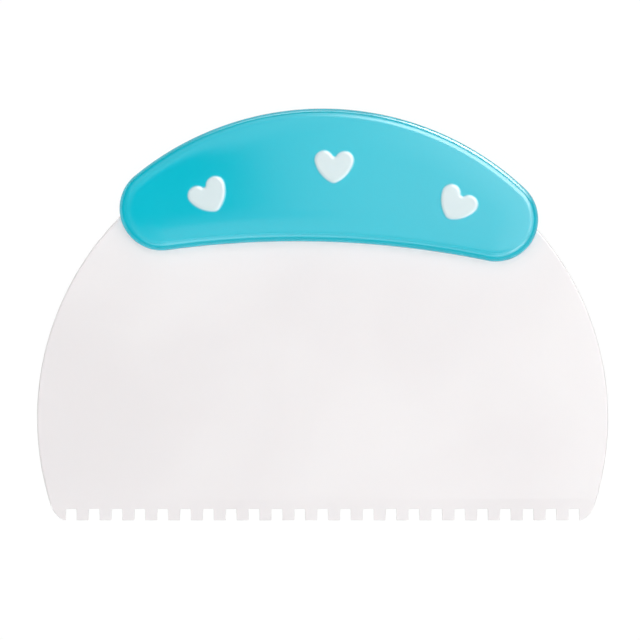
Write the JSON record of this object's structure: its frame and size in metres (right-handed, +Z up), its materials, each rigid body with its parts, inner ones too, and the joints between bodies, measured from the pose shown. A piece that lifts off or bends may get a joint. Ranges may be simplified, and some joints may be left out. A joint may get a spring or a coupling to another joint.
{
  "type": "cake comb",
  "caption": "Half-moon cake comb: a thin sheet with square scoring teeth along its straight edge and a crescent grip moulded over its round top.",
  "frame": {"origin": "the middle of the comb's box, at the height of the table that it lies on", "axes": "+X along the toothed edge, +Y from the teeth to the grip, +Z up. The comb lies on the back of its grip and on its tooth tips, so the blade tilts 2.8 degrees about X"},
  "size_m": [0.15, 0.108, 0.01],
  "materials": {
    "white_plastic": "satin",
    "turquoise_plastic": "gloss"
  },
  "bodies": {
    "root": {"blade": "white_plastic", "grip": "turquoise_plastic"}
  },
  "joints": []
}
